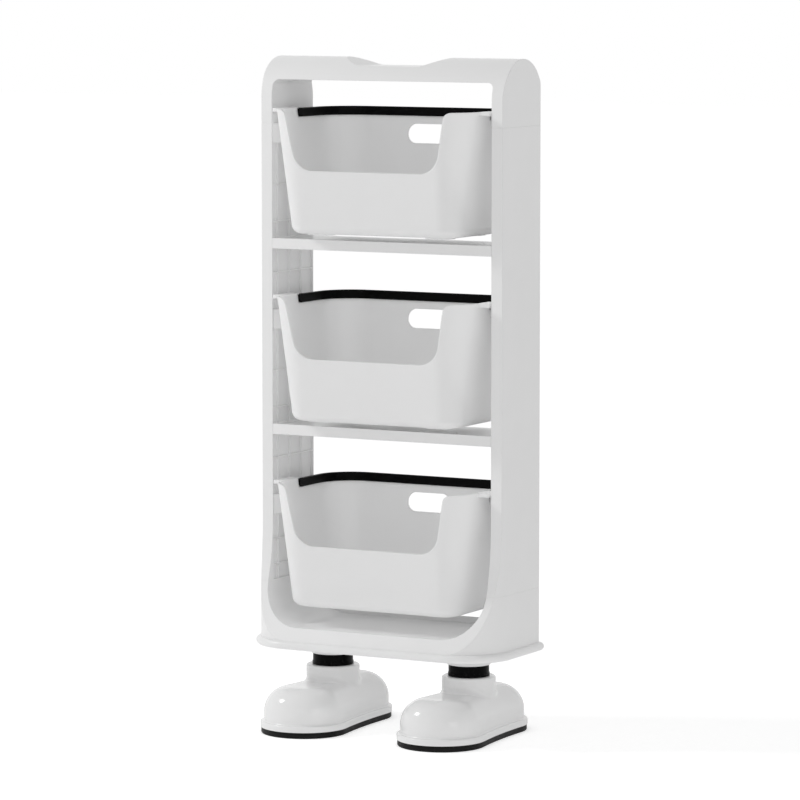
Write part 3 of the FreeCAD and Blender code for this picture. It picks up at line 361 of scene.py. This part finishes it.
def white_paper_sweep(studio):
    """Matt white paper: white to the camera in the light, with room left for a soft shadow."""
    material, tree = new_material("white_paper_sweep")
    ray = add_node(tree, "ShaderNodeLightPath")
    place = add_node(tree, "ShaderNodeTexCoord").outputs["Object"]
    reach = add_node(tree, "ShaderNodeVectorMath", {"operation": "LENGTH"}, {"Vector": place})
    lift = add_node(tree, "ShaderNodeMapRange",
                    {"From Min": LAMPLIT[0], "From Max": LAMPLIT[1],
                     "To Min": studio.floor_lift, "To Max": studio.floor_lift + FAR_LIFT},
                    {"Value": reach.outputs["Value"]})
    paper = add_node(tree, "ShaderNodeBsdfDiffuse", {"Color": linear_rgb(PAPER_COLOR)})
    seen = add_node(tree, "ShaderNodeMapRange", {"To Min": studio.floor_glow},
                    {"Value": ray.outputs["Is Camera Ray"], "To Max": lift.outputs["Result"]})
    glow = add_node(tree, "ShaderNodeEmission", {"Color": WHITE}, {"Strength": seen.outputs["Result"]})
    both = add_node(tree, "ShaderNodeAddShader")
    tree.links.new(paper.outputs["BSDF"], both.inputs[0])
    tree.links.new(glow.outputs["Emission"], both.inputs[1])
    add_node(tree, "ShaderNodeOutputMaterial", None, {"Surface": both.outputs["Shader"]})
    return material


def aim(holder, target, away, distance):
    """Put a lamp or camera at a distance from a target, looking at it."""
    holder.location = target + away * distance
    holder.rotation_euler = (-away).to_track_quat("-Z", "Y").to_euler()


def direction(right, rise):
    """Direction from the object at an angle to the right of its front and above the floor."""
    return Vector((math.sin(right) * math.cos(rise), -math.cos(right) * math.cos(rise), math.sin(rise)))


def softbox(name, target, left, rise, distance, size, power):
    """A square area lamp that looks at a target."""
    lamp = bpy.data.lights.new(name, "AREA")
    lamp.shape = "SQUARE"
    lamp.size = size
    lamp.energy = power
    holder = bpy.data.objects.new(name, lamp)
    bpy.context.scene.collection.objects.link(holder)
    aim(holder, target, direction(math.radians(-left), math.radians(rise)), distance)


def photo_camera(scene, studio, middle):
    """The camera at the photograph's viewing angle."""
    lens = bpy.data.cameras.new("photo_camera")
    lens.lens = studio.lens
    lens.sensor_width = SENSOR_WIDTH
    lens.clip_end = VIEW_REACH
    camera = bpy.data.objects.new("photo_camera", lens)
    scene.collection.objects.link(camera)
    aside = Vector((math.cos(studio.azimuth), math.sin(studio.azimuth), 0))
    aim(camera, middle - aside * studio.aim_aside, direction(studio.azimuth, studio.pitch), studio.distance)
    scene.camera = camera


class ORGANIZER_OT_stage(bpy.types.Operator):
    """Set up the floor, the light and the camera"""
    bl_idname = "organizer.stage"
    bl_label = "Studio"

    def execute(self, context):
        scene = context.scene
        studio = scene.organizer_studio
        scene.view_settings.view_transform = "Standard"
        scene.cycles.diffuse_bounces = WALL_BOUNCES
        scene.cycles.max_bounces = ALL_BOUNCES
        studio_world(scene, studio)
        bpy.ops.mesh.primitive_plane_add(size=FLOOR_SIDE)
        floor = context.object
        floor.name = "floor"
        floor.data.materials.append(white_paper_sweep(studio))
        leg = [sum(pair) / 2 for pair in zip(*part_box("leg_left"))]
        middle = Vector((0, leg[1], studio.aim_height))
        for name, left, rise, distance, size in SOFTBOXES:
            power = getattr(studio, name)
            softbox(name.replace("power", "softbox"), middle, left, rise, distance, size, power)
        photo_camera(scene, studio, middle)
        return {"FINISHED"}


OPERATORS = (ORGANIZER_OT_shell, ORGANIZER_OT_boots, ORGANIZER_OT_baskets, ORGANIZER_OT_black,
             ORGANIZER_OT_soles, ORGANIZER_OT_hardware, ORGANIZER_OT_stage)


class ORGANIZER_PT_panel(bpy.types.Panel):
    """Lists the organizer's finishes and its studio"""
    bl_label = "Storage organizer"
    bl_space_type = "VIEW_3D"
    bl_region_type = "UI"
    bl_category = "Organizer"

    def draw(self, context):
        for group in (context.scene.organizer_finish, context.scene.organizer_studio):
            for name in group.__annotations__:
                self.layout.prop(group, name)
        for operator in OPERATORS:
            self.layout.operator(operator.bl_idname)


CLASSES = (OrganizerFinish, OrganizerStudio) + OPERATORS + (ORGANIZER_PT_panel,)


def register():
    for item in CLASSES:
        bpy.utils.register_class(item)
    bpy.types.Scene.organizer_finish = bpy.props.PointerProperty(type=OrganizerFinish)
    bpy.types.Scene.organizer_studio = bpy.props.PointerProperty(type=OrganizerStudio)


def unregister():
    del bpy.types.Scene.organizer_studio
    del bpy.types.Scene.organizer_finish
    for item in reversed(CLASSES):
        bpy.utils.unregister_class(item)


def main():
    register()
    bpy.ops.organizer.shell()
    bpy.ops.organizer.boots()
    bpy.ops.organizer.baskets()
    bpy.ops.organizer.black()
    bpy.ops.organizer.soles()
    bpy.ops.organizer.hardware()
    bpy.ops.organizer.stage()


if __name__ == "__main__":
    main()
